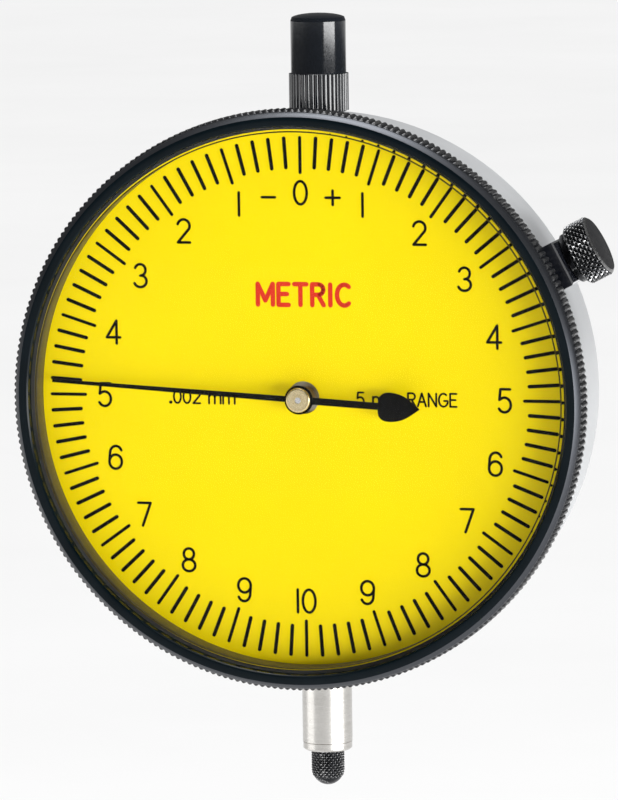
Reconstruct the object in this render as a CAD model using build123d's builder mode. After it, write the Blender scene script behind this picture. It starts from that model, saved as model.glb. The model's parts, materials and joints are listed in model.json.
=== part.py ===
from build123d import *
import os
from math import acos, atan2, cos, degrees, hypot, pi, radians, sin, sqrt, tan

# Dial indicator, AGD group 4 size, lug back, 0.002 mm graduation.
# Millimetres. +Z up the spindle, the dial faces -Y, +X to the right of the dial.
# The origin is on the spindle axis, at the lower end of the stem's clamping wall.

# ---------------------------------------------------------------- driving dimensions
stem_radius = 4.0             # metric 8 mm stem
spindle_radius = 2.0
running = 0.05                # radial clearance of every running fit
part_gap = 0.1                # gap between neighbours that turn or slide past each other

dial_centre_z = 57.1
dial_front_y = -13.3
dial_thickness = 0.5
dial_radius = 43.1
dial_hole_radius = 2.6

case_radius = 44.0
case_inner_radius = 41.8
case_shoulder_y = -9.4        # rear of the turned register that the bezel fits over
case_rear_y = 5.2
register_radius = 43.0
register_front_y = -11.7
ledge_inner_radius = 34.0     # ledge that carries the main plate
ledge_front_y = -3.0
ledge_rear_y = -1.8
rear_ring_inner_radius = 38.6  # thick ring that the back cover screws into
rear_ring_front_y = 3.2

bezel_tip_radius = 46.0
bezel_root_radius = 45.62
bezel_knurl_teeth = 280
bezel_front_y = -19.7
bezel_knurl_front_y = -18.5
bezel_knurl_rear_y = -14.4
bezel_skirt_radius = 44.7
bezel_skirt_rear_y = -9.7
bezel_face_radius = 44.85     # outer edge of the flat front ring
bezel_mouth_radius = 43.6     # inner edge of the flat front ring
bezel_wall_radius = 42.6      # inner wall between crystal and dial
skirt_bore_radius = register_radius + part_gap
crystal_radius = 43.35
crystal_front_y = -18.5
crystal_thickness = 1.1
crystal_bevel = 0.7
gasket_thickness = 0.3
dial_ring_width = 2.0
dial_ring_thickness = 0.7
gasket_clearance = 0.05
bezel_edge_round = 0.25
knurl_front_chamfer = 0.35
knurl_rear_chamfer = 0.3
knurl_sink = 0.3
knurl_root_half = 0.42        # share of the pitch from a tooth's middle to its root
knurl_tip_half = 0.12

groove_depth = 0.6            # groove for the bezel retaining spring, in case and bezel
groove_front_y = -10.9
groove_rear_y = -10.2
retainer_clearance = 0.15
retainer_gap = 12.0           # opening in the retaining spring, at the bottom

stem_clamp_top_z = 11.9       # end of the 8 mm wall, clear of the case
stem_seat_radius = 3.7        # part pressed into the case
stem_top_z = 19.2
stem_wall_gap = 0.3           # relief round the spindle above the bush
bush_flange_z = -1.35         # lower face of the stem bush
bush_body_radius = 3.0
bush_top_z = 9.0
bush_mouth_radius = 2.78
bush_mouth_top_z = 0.2
bush_inset = 0.06             # the flange is this much smaller than the stem
bush_chamfer = 0.3
bush_groove_z = -0.12         # fine groove where the flange meets the stem
bush_groove_inset = 0.18
contact_radius = 2.55
contact_top_z = -1.1
contact_tip_z = -7.2
contact_stud_radius = 1.4
contact_stud_length = 4.0
contact_socket_spare = 0.5

spindle_top_z = 105.0
collar_radius = 2.8
collar_bottom_z = 19.35
collar_height = 1.5
top_bush_bottom_z = 96.5
top_bush_top_z = 108.5
top_bush_radius = 3.2
top_bush_flange_radius = 4.2
top_bush_step = 1.0           # the flange stops this far inside the case wall
cap_bottom_z = 101.4
cap_knurl_top_z = 107.5
cap_shoulder_z = 115.8
cap_top_z = 117.0
cap_knurl_radius = 4.75
cap_knurl_depth = 0.3
cap_flutes = 40
cap_radius = 4.4
cap_bore_radius = 3.3
cap_bore_top_z = 113.8
cap_edge_round = 0.4          # small round between the cap's side and its dome

spindle_chamfer = 0.3
rack_teeth = 24
rack_depth = 0.42
rack_dedendum = 0.18          # root of the rack below its pitch plane
guide_z = 64.0
guide_height = 5.0
guide_width = 3.0
guide_eye_radius = 1.5
guide_ring_radius = 2.6
guide_reach = 10.0
guide_pin_radius = 0.8
guide_pin_overhang = 3.0
fork_drop = 2.5               # fork below the guide arm
fork_width = 5.0
fork_depth = 1.5
fork_rear_y = 2.2
fork_slot_length = 4.0
spring_x = -7.0
spring_post_z = 26.0
spring_pin_z = 50.0
lug_width = 2.0
lug_ring_radius = 2.6
hook_radius = 1.0
hook_height = 2.0
wire_radius = 0.15
coil_radius = 1.3
coil_pitch = 0.8
coil_end_gap = 0.05

# Plates of the movement, by the y of each front and rear face.
front_plate_front_y = -11.4
front_plate_rear_y = -10.0
main_plate_front_y = -4.2
main_plate_rear_y = -3.0
bridge_front_y = 2.6
bridge_rear_y = 3.8
main_plate_radius = 36.0
front_plate_radius = 23.5
main_screw_circle = 34.9
main_screw_angles = (20, 160, 235, 305)
pillar_places = ((19.0, 50), (19.0, 130), (19.0, 215), (20.8, 317))  # radius, angle
pillar_radius = 1.6
post_spots = [(-12.5, -17.0), (11.0, -17.0)]
bridge_margin = 3.0           # bridge beyond its posts
bridge_height = 14.0
bridge_lift = 2.0
bridge_round = 2.9
window_radius = 6.5
window_spots = ((0, 22), (-22, 8), (22, 10))
pinion_window_radius = 2.2
front_window = (18.0, 8.0)
front_window_height = 13.0
centre_bush_radius = 1.5
centre_bush_proud = 0.3

# Screws of the movement and the back cover.
screw_radius = 0.8
screw_head_radius = 1.5
screw_head_height = 0.7
small_head_radius = 1.28
low_head_height = 0.6
slot_width = 0.35
slot_depth = 0.35
low_slot_depth = 0.3
screw_reach = 2.6             # shank beyond the piece that it holds
tapped_depth = 3.0

# Gear train: 10 mm of spindle travel per turn of the rack pinion, times 50 at the hand.
rack_pitch = 0.625
rack_pinion_teeth = 16
first_wheel_teeth = 100
second_pinion_teeth = 14
second_wheel_teeth = 98
centre_pinion_teeth = 14
takeup_wheel_teeth = 70
gear_module = 0.2
tooth_backlash = 0.06
pressure_angle = radians(20)
rack_plane_x = 1.55           # pitch plane of the rack, from the spindle axis
rack_arbor_drop = 11.0        # rack pinion below the dial centre
takeup_angle = radians(195)
arbor_radius = 0.6
pivot_radius = 0.25
jewel_radius = 0.9
jewel_thickness = 0.9
wheel_end_gap = 0.2
pivot_length = 0.7
wheel_thickness = 0.8
wheel_spokes = 5
first_wheel_front_y = -6.0
first_window_circle = 5.6
first_window_radius = 2.3
second_wheel_front_y = -9.3
second_window_circle = 5.5
second_window_radius = 2.2
takeup_wheel_front_y = -7.6
takeup_thickness = 0.6
takeup_spokes = 4
takeup_window_circle = 4.0
takeup_window_radius = 1.7
pinion_overhang = 0.2         # pinion leaves beyond the wheel they drive, each side
rack_pinion_width = 3.6

collet_radius = 1.1
collet_width = 0.8
collet_rear_gap = 0.7
hairspring_front_y = -9.2
hairspring_width = 0.5
hairspring_turns = 6
hairspring_start = 1.35
hairspring_end = 5.0
hairspring_thickness = 0.12
steps_per_turn = 16
stud_radius = 0.6

hand_rear_y = -16.2
hand_thickness = 0.25
hand_tip_radius = 40.3
graduation = radians(3.6)
hand_angle = pi - graduation  # one graduation above nine o'clock
hand_root_width = 0.95
hand_tip_width = 0.5
tail_neck_width = 1.1
tail_start = 13.0
tail_widest = 15.4
tail_end = 19.5
tail_width = 4.5
tail_overlap = 0.2
tail_point_slope = 0.8
hub_radius = 2.3
hub_button_radius = 1.95
hub_button_front_y = -17.1
hub_button_round = 0.25
hub_bore_radius = 0.5
hub_collar_radius = 1.8
hub_collar_length = 1.2
hand_seat_length = 0.7        # arbor beyond the hand's rear face

clamp_angle = radians(27.4)
clamp_y = -7.6
clamp_width = 7.4
clamp_front_y = -13.9
clamp_rear_y = -5.2
clamp_outer_radius = 47.4
clamp_skirt_gap = 0.25
clamp_screw_radius = 1.5
clamp_screw_inner = 41.0
clamp_collar_radius = 4.1
clamp_knob_start = 48.5
clamp_knob_end = 52.7
clamp_knob_radius = 4.85
clamp_knob_chamfer = 0.35
clamp_edge_chamfer = 0.3
clamp_collar_gap = 0.1
clamp_hole_depth = 6.0

cover_radius = 43.2
cover_thickness = 1.4
cover_screw_circle = 41.2
lug_thickness = 6.0
lug_radius = 6.8
lug_hole_radius = 3.175       # quarter-inch lug hole
lug_reach = 14.6              # hole centre, behind the spindle axis
lug_chamfer = 0.5
cover_screw_count = 4
cover_screw_start = 45        # degrees
cover_thread_depth = 1.5
rim_round = 0.6               # rounded rear rims of the case and the back cover
radius_match = 0.001          # tolerance for choosing round edges by radius

os.makedirs("parts", exist_ok=True)

# ---------------------------------------------------------------- planes and helpers
section = Plane(origin=(0, 0, dial_centre_z), x_dir=(1, 0, 0), z_dir=(0, 0, 1))
dial_axis = Axis((0, 0, dial_centre_z), (0, 1, 0))
spindle_section = Plane.XZ


def facing(y, angle=0.0):
    """Plane across the dial axis at y, normal -Y. Its x is +X turned by angle towards +Z."""
    return Plane(origin=(0, y, dial_centre_z), x_dir=(cos(angle), 0, sin(angle)), z_dir=(0, -1, 0))


def clamp_plane(distance):
    """Plane across the clamp screw's axis: local x is +Y, local y runs round the bezel."""
    out = (cos(clamp_angle), 0, sin(clamp_angle))
    origin = (distance * out[0], clamp_y, dial_centre_z + distance * out[2])
    return Plane(origin=origin, x_dir=(0, 1, 0), z_dir=out)


def polar(radius, angle, centre=(0, 0)):
    return (centre[0] + radius * cos(angle), centre[1] + radius * sin(angle))


def involute(angle):
    return tan(angle) - angle


def gear_outline(centre, teeth, module, first_tooth):
    """Corner points of an involute gear whose first tooth stands at the given angle."""
    pitch_radius = module * teeth / 2
    base_radius = pitch_radius * cos(pressure_angle)
    root_radius = pitch_radius - 1.2 * module
    flank_radii = [root_radius, pitch_radius, pitch_radius + 0.9 * module]
    if base_radius > root_radius:
        flank_radii.insert(1, base_radius)
    half_at_pitch = pi / (2 * teeth) - tooth_backlash / (2 * pitch_radius)
    half_angles = []
    for radius in flank_radii:
        roll = acos(min(1, base_radius / radius))
        half_angles.append(half_at_pitch + involute(pressure_angle) - involute(roll))
    points = []
    for tooth in range(teeth):
        middle = first_tooth + 2 * pi * tooth / teeth
        for radius, half in zip(flank_radii, half_angles):
            points.append(polar(radius, middle - half, centre))
        for radius, half in zip(reversed(flank_radii), reversed(half_angles)):
            points.append(polar(radius, middle + half, centre))
    return points


def meshing_tooth(line_angle, teeth, first_tooth, mate_teeth):
    """First tooth angle of a mate that lies at line_angle from a gear, in mesh with it."""
    pitch, mate_pitch = 2 * pi / teeth, 2 * pi / mate_teeth
    phase = ((line_angle - first_tooth) / pitch) % 1
    return line_angle + pi - mate_pitch * (0.5 - phase)


def save(builder, name):
    builder.part.label = name
    export_step(builder.part, f"parts/{name}.step")


# ---------------------------------------------------------------- where the arbors stand
rack_pinion_module = rack_pitch / pi
rack_arbor = (rack_plane_x + rack_pinion_module * rack_pinion_teeth / 2, -rack_arbor_drop)
centre_arbor = (0.0, 0.0)
first_distance = gear_module * (first_wheel_teeth + second_pinion_teeth) / 2
second_distance = gear_module * (second_wheel_teeth + centre_pinion_teeth) / 2
takeup_distance = gear_module * (takeup_wheel_teeth + centre_pinion_teeth) / 2
rack_reach = hypot(*rack_arbor)
along = (second_distance**2 - first_distance**2 + rack_reach**2) / (2 * rack_reach)
across = sqrt(second_distance**2 - along**2)
rack_way = (rack_arbor[0] / rack_reach, rack_arbor[1] / rack_reach)
second_arbor = (
    along * rack_way[0] - across * rack_way[1],
    along * rack_way[1] + across * rack_way[0],
)
takeup_arbor = polar(takeup_distance, takeup_angle)


def heading(start, end):
    return atan2(end[1] - start[1], end[0] - start[0])


rack_pinion_tooth = pi - pi / rack_pinion_teeth
first_wheel_tooth = 0.0
second_pinion_tooth = meshing_tooth(
    heading(rack_arbor, second_arbor), first_wheel_teeth, first_wheel_tooth, second_pinion_teeth
)
second_wheel_tooth = 0.0
centre_pinion_tooth = meshing_tooth(
    heading(second_arbor, centre_arbor), second_wheel_teeth, second_wheel_tooth, centre_pinion_teeth
)
takeup_wheel_tooth = meshing_tooth(
    takeup_angle, centre_pinion_teeth, centre_pinion_tooth, takeup_wheel_teeth
)

pillar_spots = [polar(radius, radians(angle)) for radius, angle in pillar_places]
main_screw_spots = [polar(main_screw_circle, radians(angle)) for angle in main_screw_angles]
bridge_length = post_spots[1][0] - post_spots[0][0] + 2 * bridge_margin

# ---------------------------------------------------------------- case and its covers
with BuildPart() as case_shell:
    with BuildSketch(section):
        with BuildLine():
            Polyline(
                (case_inner_radius, register_front_y),
                (register_radius, register_front_y),
                (register_radius, groove_front_y),
                (register_radius - groove_depth, groove_front_y),
                (register_radius - groove_depth, groove_rear_y),
                (register_radius, groove_rear_y),
                (register_radius, case_shoulder_y),
                (case_radius, case_shoulder_y),
                (case_radius, case_rear_y),
                (rear_ring_inner_radius, case_rear_y),
                (rear_ring_inner_radius, rear_ring_front_y),
                (case_inner_radius, rear_ring_front_y),
                (case_inner_radius, ledge_rear_y),
                (ledge_inner_radius, ledge_rear_y),
                (ledge_inner_radius, ledge_front_y),
                (case_inner_radius, ledge_front_y),
                close=True,
            )
        make_face()
    revolve(axis=dial_axis)
    rear_edges = case_shell.edges().filter_by(GeomType.CIRCLE).group_by(Axis.Y)[-1]
    fillet(rear_edges.sort_by(SortBy.RADIUS)[-1], rim_round)
    # bottom hole for the stem and top hole for the upper bush
    with BuildSketch(Plane.XY.offset(dial_centre_z - case_radius - 1)):
        Circle(stem_seat_radius)
    extrude(amount=case_radius - ledge_inner_radius + 2, mode=Mode.SUBTRACT)
    with BuildSketch(Plane.XY.offset(dial_centre_z + ledge_inner_radius - 1)):
        Circle(top_bush_flange_radius)
    extrude(amount=case_inner_radius - ledge_inner_radius, mode=Mode.SUBTRACT)
    with BuildSketch(Plane.XY.offset(dial_centre_z + ledge_inner_radius - 1)):
        Circle(top_bush_radius)
    extrude(amount=case_radius - ledge_inner_radius + 3, mode=Mode.SUBTRACT)
    # tapped hole for the bezel clamp screw
    with BuildSketch(clamp_plane(clamp_screw_inner - 1)):
        Circle(clamp_screw_radius + running)
    extrude(amount=clamp_hole_depth, mode=Mode.SUBTRACT)
    # tapped holes for the main plate and back cover screws
    with BuildSketch(facing(ledge_rear_y)):
        with Locations(*main_screw_spots):
            Circle(screw_radius)
    extrude(amount=ledge_rear_y - ledge_front_y, mode=Mode.SUBTRACT)
    with BuildSketch(facing(case_rear_y)):
        with PolarLocations(cover_screw_circle, cover_screw_count, start_angle=cover_screw_start):
            Circle(screw_radius)
    extrude(amount=case_rear_y - rear_ring_front_y + cover_thread_depth, mode=Mode.SUBTRACT)
save(case_shell, "case_shell")

with BuildPart() as stem:
    with BuildSketch(spindle_section):
        with BuildLine():
            Polyline(
                (bush_body_radius, 0),
                (stem_radius, 0),
                (stem_radius, stem_clamp_top_z),
                (stem_seat_radius, stem_clamp_top_z),
                (stem_seat_radius, stem_top_z),
                (spindle_radius + stem_wall_gap, stem_top_z),
                (spindle_radius + stem_wall_gap, bush_top_z),
                (bush_body_radius, bush_top_z),
                close=True,
            )
        make_face()
    revolve(axis=Axis.Z)
save(stem, "stem")

with BuildPart() as stem_bush:
    with BuildSketch(spindle_section):
        with BuildLine():
            Polyline(
                (bush_mouth_radius, bush_flange_z),
                (stem_radius - bush_inset - bush_chamfer, bush_flange_z),
                (stem_radius - bush_inset, bush_flange_z + bush_chamfer),
                (stem_radius - bush_inset, bush_groove_z),
                (stem_radius - bush_groove_inset, 0),
                (bush_body_radius, 0),
                (bush_body_radius, bush_top_z),
                (spindle_radius + running, bush_top_z),
                (spindle_radius + running, bush_mouth_top_z),
                (bush_mouth_radius, bush_mouth_top_z),
                close=True,
            )
        make_face()
    revolve(axis=Axis.Z)
save(stem_bush, "stem_bush")

with BuildPart() as top_bush:
    with BuildSketch(spindle_section):
        with BuildLine():
            Polyline(
                (spindle_radius + running, top_bush_bottom_z),
                (top_bush_flange_radius, top_bush_bottom_z),
                (top_bush_flange_radius, dial_centre_z + case_inner_radius - top_bush_step),
                (top_bush_radius, dial_centre_z + case_inner_radius - top_bush_step),
                (top_bush_radius, top_bush_top_z),
                (spindle_radius + running, top_bush_top_z),
                close=True,
            )
        make_face()
    revolve(axis=Axis.Z)
save(top_bush, "top_bush")

with BuildPart() as back_cover:
    with BuildSketch(facing(case_rear_y + cover_thickness)):
        Circle(cover_radius)
        with PolarLocations(cover_screw_circle, cover_screw_count, start_angle=cover_screw_start):
            Circle(screw_radius + running, mode=Mode.SUBTRACT)
    extrude(amount=cover_thickness)
    rims = back_cover.edges().filter_by(GeomType.CIRCLE).group_by(Axis.Y)[-1]
    fillet(rims.sort_by(SortBy.RADIUS)[-1], rim_round)
    with BuildSketch(Plane.YZ.offset(-lug_thickness / 2)):
        with Locations((lug_reach, dial_centre_z)):
            Circle(lug_radius)
        with Locations(((case_rear_y + 1 + lug_reach) / 2, dial_centre_z)):
            Rectangle(lug_reach - case_rear_y - 1, 2 * lug_radius)
    extrude(amount=lug_thickness)
    lug_rims = back_cover.edges().filter_by(GeomType.CIRCLE).filter_by(
        lambda e: abs(e.radius - lug_radius) < radius_match
    )
    chamfer(lug_rims, lug_chamfer)
    with BuildSketch(Plane.YZ.offset(-lug_thickness / 2)):
        with Locations((lug_reach, dial_centre_z)):
            Circle(lug_hole_radius)
    extrude(amount=lug_thickness, mode=Mode.SUBTRACT)
save(back_cover, "back_cover")

with BuildPart() as back_cover_screws:
    with BuildSketch(facing(case_rear_y + cover_thickness + screw_head_height)):
        with PolarLocations(cover_screw_circle, cover_screw_count, start_angle=cover_screw_start):
            Circle(screw_head_radius)
    extrude(amount=screw_head_height)
    with BuildSketch(facing(case_rear_y + cover_thickness)):
        with PolarLocations(cover_screw_circle, cover_screw_count, start_angle=cover_screw_start):
            Circle(screw_radius)
    extrude(amount=cover_thickness + screw_reach)
    with BuildSketch(facing(case_rear_y + cover_thickness + screw_head_height)):
        with PolarLocations(cover_screw_circle, cover_screw_count, start_angle=cover_screw_start):
            Rectangle(2 * screw_head_radius, slot_width)
    extrude(amount=slot_depth, mode=Mode.SUBTRACT)
save(back_cover_screws, "back_cover_screws")

# ---------------------------------------------------------------- movement plates
with BuildPart() as main_plate:
    with BuildSketch(facing(main_plate_rear_y)):
        Circle(main_plate_radius)
        with Locations(*pillar_spots, *post_spots):
            Circle(screw_radius, mode=Mode.SUBTRACT)
        with Locations(*main_screw_spots):
            Circle(screw_radius + running, mode=Mode.SUBTRACT)
        with Locations(second_arbor, centre_arbor, takeup_arbor):
            Circle(jewel_radius, mode=Mode.SUBTRACT)
        with Locations(rack_arbor):
            Circle(pinion_window_radius, mode=Mode.SUBTRACT)
        # round windows that lighten the plate
        with Locations(*window_spots):
            Circle(window_radius, mode=Mode.SUBTRACT)
    extrude(amount=main_plate_rear_y - main_plate_front_y)
save(main_plate, "main_plate")

with BuildPart() as main_plate_screws:
    with BuildSketch(facing(main_plate_front_y)):
        with Locations(*main_screw_spots):
            Circle(small_head_radius)
    extrude(amount=screw_head_height)
    with BuildSketch(facing(ledge_rear_y)):
        with Locations(*main_screw_spots):
            Circle(screw_radius)
    extrude(amount=ledge_rear_y - main_plate_front_y)
    with BuildSketch(facing(main_plate_front_y - screw_head_height + slot_depth)):
        with Locations(*main_screw_spots):
            Rectangle(2 * screw_head_radius, slot_width)
    extrude(amount=slot_depth, mode=Mode.SUBTRACT)
save(main_plate_screws, "main_plate_screws")

with BuildPart() as front_plate:
    with BuildSketch(facing(front_plate_rear_y)):
        Circle(front_plate_radius)
        with Locations(*pillar_spots):
            Circle(screw_radius + running, mode=Mode.SUBTRACT)
        with Locations(rack_arbor, second_arbor, takeup_arbor):
            Circle(jewel_radius, mode=Mode.SUBTRACT)
        with Locations(centre_arbor):
            Circle(centre_bush_radius, mode=Mode.SUBTRACT)
        with Locations((0, front_window_height)):
            SlotOverall(*front_window, mode=Mode.SUBTRACT)
    extrude(amount=front_plate_rear_y - front_plate_front_y)
save(front_plate, "front_plate")

with BuildPart() as centre_bush:
    with BuildSketch(facing(front_plate_rear_y)):
        Circle(centre_bush_radius)
        Circle(arbor_radius + running, mode=Mode.SUBTRACT)
    extrude(amount=front_plate_rear_y - front_plate_front_y + centre_bush_proud)
save(centre_bush, "centre_bush")

with BuildPart() as plate_pillars:
    with BuildSketch(facing(main_plate_front_y)):
        with Locations(*pillar_spots):
            Circle(pillar_radius)
    extrude(amount=main_plate_front_y - front_plate_rear_y)
    with BuildSketch(facing(main_plate_rear_y)):
        with Locations(*pillar_spots):
            Circle(screw_radius)
    extrude(amount=main_plate_rear_y - main_plate_front_y)
    with BuildSketch(facing(front_plate_rear_y + tapped_depth)):
        with Locations(*pillar_spots):
            Circle(screw_radius, mode=Mode.ADD)
    extrude(amount=tapped_depth, mode=Mode.SUBTRACT)
save(plate_pillars, "plate_pillars")

with BuildPart() as front_plate_screws:
    with BuildSketch(facing(front_plate_front_y)):
        with Locations(*pillar_spots):
            Circle(screw_head_radius)
    extrude(amount=low_head_height)
    with BuildSketch(facing(front_plate_rear_y + screw_reach)):
        with Locations(*pillar_spots):
            Circle(screw_radius)
    extrude(amount=front_plate_rear_y - front_plate_front_y + screw_reach)
    with BuildSketch(facing(front_plate_front_y - low_slot_depth)):
        with Locations(*pillar_spots):
            Rectangle(2 * screw_head_radius, slot_width)
    extrude(amount=low_slot_depth, mode=Mode.SUBTRACT)
save(front_plate_screws, "front_plate_screws")

with BuildPart() as rear_bridge:
    with BuildSketch(facing(bridge_rear_y)):
        with Locations(((post_spots[0][0] + post_spots[1][0]) / 2, post_spots[0][1] + bridge_lift)):
            RectangleRounded(bridge_length, bridge_height, bridge_round)
        with Locations(*post_spots):
            Circle(screw_radius + running, mode=Mode.SUBTRACT)
        with Locations(rack_arbor):
            Circle(jewel_radius, mode=Mode.SUBTRACT)
    extrude(amount=bridge_rear_y - bridge_front_y)
save(rear_bridge, "rear_bridge")

with BuildPart() as bridge_posts:
    with BuildSketch(facing(bridge_front_y)):
        with Locations(*post_spots):
            Circle(pillar_radius)
    extrude(amount=bridge_front_y - main_plate_rear_y)
    with BuildSketch(facing(main_plate_rear_y)):
        with Locations(*post_spots):
            Circle(screw_radius)
    extrude(amount=main_plate_rear_y - main_plate_front_y)
    with BuildSketch(facing(bridge_front_y)):
        with Locations(*post_spots):
            Circle(screw_radius)
    extrude(amount=tapped_depth, mode=Mode.SUBTRACT)
save(bridge_posts, "bridge_posts")

with BuildPart() as bridge_screws:
    with BuildSketch(facing(bridge_rear_y + low_head_height)):
        with Locations(*post_spots):
            Circle(screw_head_radius)
    extrude(amount=low_head_height)
    with BuildSketch(facing(bridge_rear_y)):
        with Locations(*post_spots):
            Circle(screw_radius)
    extrude(amount=bridge_rear_y - bridge_front_y + screw_reach)
    with BuildSketch(facing(bridge_rear_y + low_head_height)):
        with Locations(*post_spots):
            Rectangle(2 * screw_head_radius, slot_width)
    extrude(amount=low_slot_depth, mode=Mode.SUBTRACT)
save(bridge_screws, "bridge_screws")

with BuildPart() as pivot_jewels:
    with BuildSketch(facing(front_plate_rear_y)):
        with Locations(rack_arbor, second_arbor, takeup_arbor):
            Circle(jewel_radius)
            Circle(pivot_radius + running, mode=Mode.SUBTRACT)
    extrude(amount=jewel_thickness)
    with BuildSketch(facing(main_plate_front_y + jewel_thickness)):
        with Locations(second_arbor, centre_arbor, takeup_arbor):
            Circle(jewel_radius)
            Circle(pivot_radius + running, mode=Mode.SUBTRACT)
    extrude(amount=jewel_thickness)
    with BuildSketch(facing(bridge_front_y + jewel_thickness)):
        with Locations(rack_arbor):
            Circle(jewel_radius)
            Circle(pivot_radius + running, mode=Mode.SUBTRACT)
    extrude(amount=jewel_thickness)
save(pivot_jewels, "pivot_jewels")

# ---------------------------------------------------------------- gear train


# y of the arbors' shoulders and pivot ends, at the front plate, main plate and rear bridge
front_shoulder = front_plate_rear_y + wheel_end_gap
front_pivot = front_shoulder - pivot_length
main_shoulder = main_plate_front_y - wheel_end_gap
main_pivot = main_shoulder + pivot_length
bridge_shoulder = bridge_front_y - wheel_end_gap
bridge_pivot = bridge_shoulder + pivot_length

with BuildPart() as rack_pinion:
    with BuildSketch(facing(bridge_shoulder)):
        with Locations(rack_arbor):
            Circle(arbor_radius)
    extrude(amount=bridge_shoulder - front_shoulder)
    with BuildSketch(facing(bridge_pivot)):
        with Locations(rack_arbor):
            Circle(pivot_radius)
    extrude(amount=bridge_pivot - front_pivot)
    outline = gear_outline(rack_arbor, rack_pinion_teeth, rack_pinion_module, rack_pinion_tooth)
    with BuildSketch(facing(rack_pinion_width / 2)):
        with BuildLine():
            Polyline(*outline, close=True)
        make_face()
    extrude(amount=rack_pinion_width)
save(rack_pinion, "rack_pinion")

with BuildPart() as first_wheel:
    outline = gear_outline(rack_arbor, first_wheel_teeth, gear_module, first_wheel_tooth)
    with BuildSketch(facing(first_wheel_front_y + wheel_thickness)):
        with BuildLine():
            Polyline(*outline, close=True)
        make_face()
        with Locations(rack_arbor):
            Circle(arbor_radius, mode=Mode.SUBTRACT)
            with PolarLocations(first_window_circle, wheel_spokes):
                Circle(first_window_radius, mode=Mode.SUBTRACT)
    extrude(amount=wheel_thickness)
save(first_wheel, "first_wheel")

with BuildPart() as second_pinion:
    with BuildSketch(facing(main_shoulder)):
        with Locations(second_arbor):
            Circle(arbor_radius)
    extrude(amount=main_shoulder - front_shoulder)
    with BuildSketch(facing(main_pivot)):
        with Locations(second_arbor):
            Circle(pivot_radius)
    extrude(amount=main_pivot - front_pivot)
    outline = gear_outline(second_arbor, second_pinion_teeth, gear_module, second_pinion_tooth)
    with BuildSketch(facing(first_wheel_front_y + wheel_thickness + pinion_overhang)):
        with BuildLine():
            Polyline(*outline, close=True)
        make_face()
    extrude(amount=wheel_thickness + 2 * pinion_overhang)
save(second_pinion, "second_pinion")

with BuildPart() as second_wheel:
    outline = gear_outline(second_arbor, second_wheel_teeth, gear_module, second_wheel_tooth)
    with BuildSketch(facing(second_wheel_front_y + wheel_thickness)):
        with BuildLine():
            Polyline(*outline, close=True)
        make_face()
        with Locations(second_arbor):
            Circle(arbor_radius, mode=Mode.SUBTRACT)
            with PolarLocations(second_window_circle, wheel_spokes):
                Circle(second_window_radius, mode=Mode.SUBTRACT)
    extrude(amount=wheel_thickness)
save(second_wheel, "second_wheel")

centre_leaves_rear_y = takeup_wheel_front_y + takeup_thickness + pinion_overhang
with BuildPart() as centre_pinion:
    with BuildSketch(facing(main_shoulder)):
        Circle(arbor_radius)
    extrude(amount=main_shoulder - dial_front_y)
    with BuildSketch(facing(dial_front_y)):
        Circle(hub_bore_radius)
    extrude(amount=dial_front_y - hand_rear_y + hand_seat_length)
    with BuildSketch(facing(main_pivot)):
        Circle(pivot_radius)
    extrude(amount=main_pivot - main_shoulder)
    outline = gear_outline(centre_arbor, centre_pinion_teeth, gear_module, centre_pinion_tooth)
    with BuildSketch(facing(centre_leaves_rear_y)):
        with BuildLine():
            Polyline(*outline, close=True)
        make_face()
    extrude(amount=centre_leaves_rear_y + pinion_overhang - second_wheel_front_y)
save(centre_pinion, "centre_pinion")

with BuildPart() as takeup_wheel:
    outline = gear_outline(takeup_arbor, takeup_wheel_teeth, gear_module, takeup_wheel_tooth)
    with BuildSketch(facing(takeup_wheel_front_y + takeup_thickness)):
        with BuildLine():
            Polyline(*outline, close=True)
        make_face()
        with Locations(takeup_arbor):
            Circle(arbor_radius, mode=Mode.SUBTRACT)
            with PolarLocations(takeup_window_circle, takeup_spokes):
                Circle(takeup_window_radius, mode=Mode.SUBTRACT)
    extrude(amount=takeup_thickness)
save(takeup_wheel, "takeup_wheel")

with BuildPart() as takeup_staff:
    with BuildSketch(facing(main_shoulder)):
        with Locations(takeup_arbor):
            Circle(arbor_radius)
    extrude(amount=main_shoulder - front_shoulder)
    with BuildSketch(facing(main_pivot)):
        with Locations(takeup_arbor):
            Circle(pivot_radius)
    extrude(amount=main_pivot - front_pivot)
save(takeup_staff, "takeup_staff")

with BuildPart() as hairspring_collet:
    with BuildSketch(facing(hairspring_front_y + collet_rear_gap)):
        with Locations(takeup_arbor):
            Circle(collet_radius)
            Circle(arbor_radius, mode=Mode.SUBTRACT)
    extrude(amount=collet_width)
save(hairspring_collet, "hairspring_collet")


def spiral(offset):
    """Points along one face of the hairspring, from its inner end out."""
    total = hairspring_turns * steps_per_turn
    growth = (hairspring_end - hairspring_start) / total
    return [
        polar(hairspring_start + growth * i + offset, 2 * pi * i / steps_per_turn, takeup_arbor)
        for i in range(total + 1)
    ]


with BuildPart() as hairspring:
    with BuildSketch(facing(hairspring_front_y + hairspring_width)):
        with BuildLine():
            Polyline(*spiral(0), *reversed(spiral(hairspring_thickness)), close=True)
        make_face()
    extrude(amount=hairspring_width)
save(hairspring, "hairspring")

stud_spot = (takeup_arbor[0] + hairspring_end + hairspring_thickness + stud_radius, takeup_arbor[1])
with BuildPart() as hairspring_stud:
    with BuildSketch(facing(hairspring_front_y + hairspring_width)):
        with Locations(stud_spot):
            Circle(stud_radius)
    extrude(amount=hairspring_front_y + hairspring_width - front_plate_rear_y)
save(hairspring_stud, "hairspring_stud")

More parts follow.
